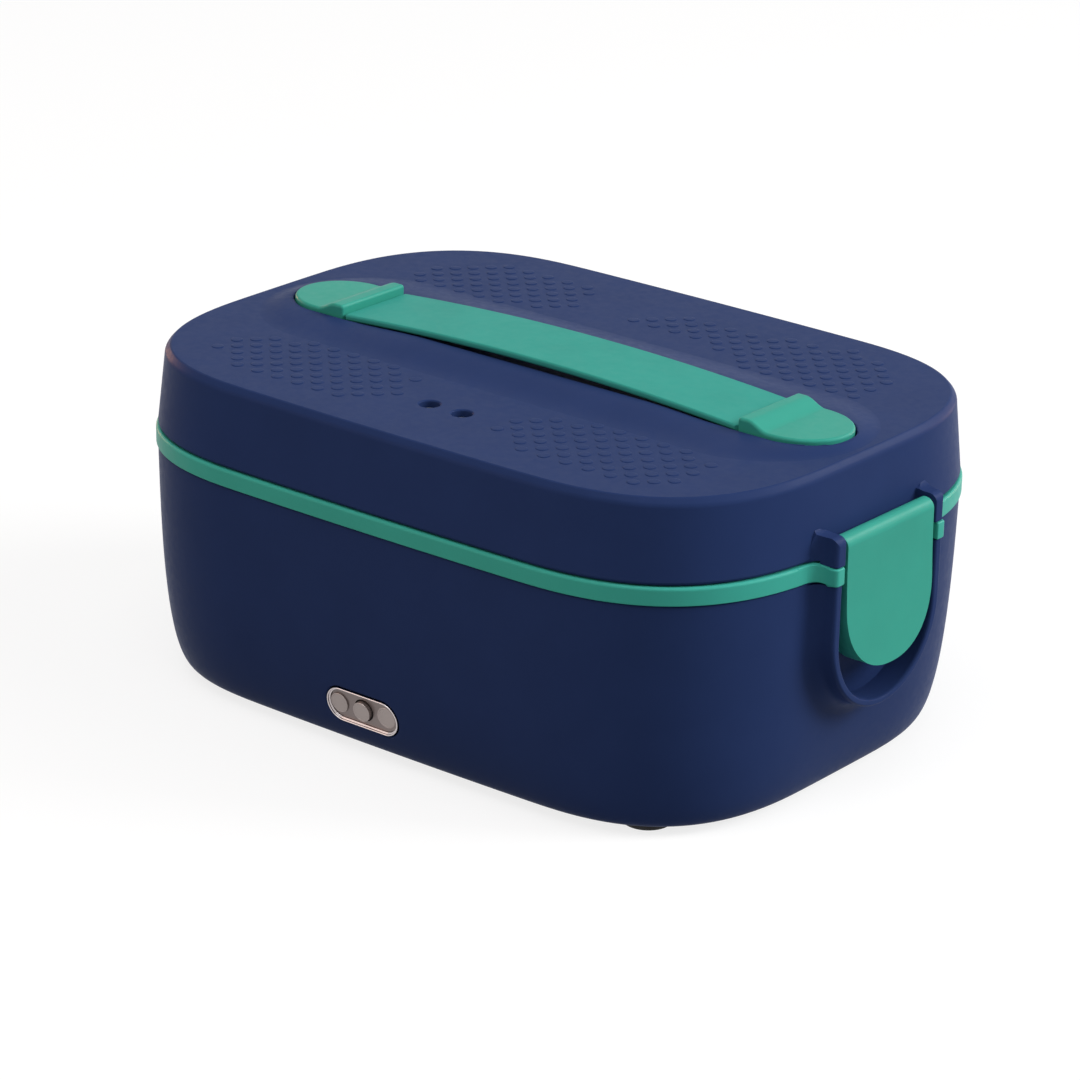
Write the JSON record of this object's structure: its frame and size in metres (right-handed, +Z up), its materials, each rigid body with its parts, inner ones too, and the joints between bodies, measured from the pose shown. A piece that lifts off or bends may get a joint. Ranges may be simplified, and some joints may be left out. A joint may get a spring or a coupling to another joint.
{
  "type": "electric lunch box",
  "caption": "Electric heated lunch box: a power-inlet base with a lift-out steel container, a lift-off lid held by two end latches, and a flexible strap handle.",
  "frame": {"origin": "centre of the bounding box in plan, on the surface that the feet stand on", "axes": "+X along the long way, towards the right-hand latch; +Y towards the back, away from the steam vents and the power inlet; +Z up"},
  "size_m": [0.2618, 0.1772, 0.1151],
  "materials": {
    "navy_plastic": "fine satin moulding",
    "green_plastic": "soft matt moulding",
    "green_silicone": "matt silicone",
    "black_plastic": "matt moulding",
    "foot_rubber": "matt rubber",
    "stainless": "satin stainless steel",
    "bright_metal": "polished",
    "inlet_metal": "satin",
    "aluminium": "mill finish",
    "chamber_plastic": "heat-resistant moulding",
    "clear_plastic": "frosted moulding",
    "white_silicone": "matt silicone",
    "ceramic": "ceramic body",
    "brown_sleeve": "wire insulation",
    "blue_sleeve": "wire insulation",
    "green_yellow_sleeve": "wire insulation"
  },
  "bodies": {
    "base": {"base_shell": "navy_plastic", "base_cover": "black_plastic", "cover_screws": "bright_metal", "rubber_feet": "foot_rubber", "rim_band": "green_plastic", "heating_chamber": "chamber_plastic", "heating_plate": "stainless", "ptc_heater": "aluminium", "heater_clamp": "stainless", "clamp_screws": "bright_metal", "thermostat": "ceramic", "thermal_fuse": "ceramic", "heat_shield": "aluminium", "inlet_housing": "black_plastic", "inlet_bezel": "bright_metal", "inlet_plate": "inlet_metal", "contact_left": "inlet_metal", "contact_center": "inlet_metal", "contact_right": "inlet_metal", "lead_live": "brown_sleeve", "lead_earth": "green_yellow_sleeve", "lead_neutral": "blue_sleeve"},
    "container": {"food_container": "stainless"},
    "lid": {"lid_shell": "navy_plastic", "lid_liner": "clear_plastic", "lid_gasket": "white_silicone", "cap_left": "green_plastic", "cap_right": "green_plastic", "cap_screws": "bright_metal", "strap_flex_left": "green_silicone", "strap_flex_right": "green_silicone", "latch_pin_left": "bright_metal", "latch_pin_right": "bright_metal"},
    "strap": {"strap_grip": "green_silicone"},
    "latch_left": {"latch_left": "green_plastic"},
    "latch_right": {"latch_right": "green_plastic"}
  },
  "joints": [
    {"name": "lid_lift", "type": "slide", "parent": "base", "child": "lid", "axis": [0, 0, 1], "range_m": [0, 0.1]},
    {"name": "container_lift", "type": "slide", "parent": "base", "child": "container", "axis": [0, 0, 1], "range_m": [0, 0.056]},
    {"name": "strap_lift", "type": "slide", "parent": "lid", "child": "strap", "axis": [0, 0, 1], "range_m": [0, 0.012], "deforming": ["strap_flex_left", "strap_flex_right"]},
    {"name": "latch_left_hinge", "type": "hinge", "parent": "lid", "child": "latch_left", "pos_m": [-0.1244, 0, 0.0869], "axis": [0, 1, 0], "range_deg": [0, 115]},
    {"name": "latch_right_hinge", "type": "hinge", "parent": "lid", "child": "latch_right", "pos_m": [0.1244, 0, 0.0869], "axis": [0, -1, 0], "range_deg": [0, 115]}
  ],
  "couplings": [
    {"joint": "latch_left_hinge", "follows": "lid_lift", "rad_per_m": 20},
    {"joint": "latch_right_hinge", "follows": "lid_lift", "rad_per_m": 20},
    {"joint": "container_lift", "follows": "lid_lift", "ratio": 0.55}
  ]
}
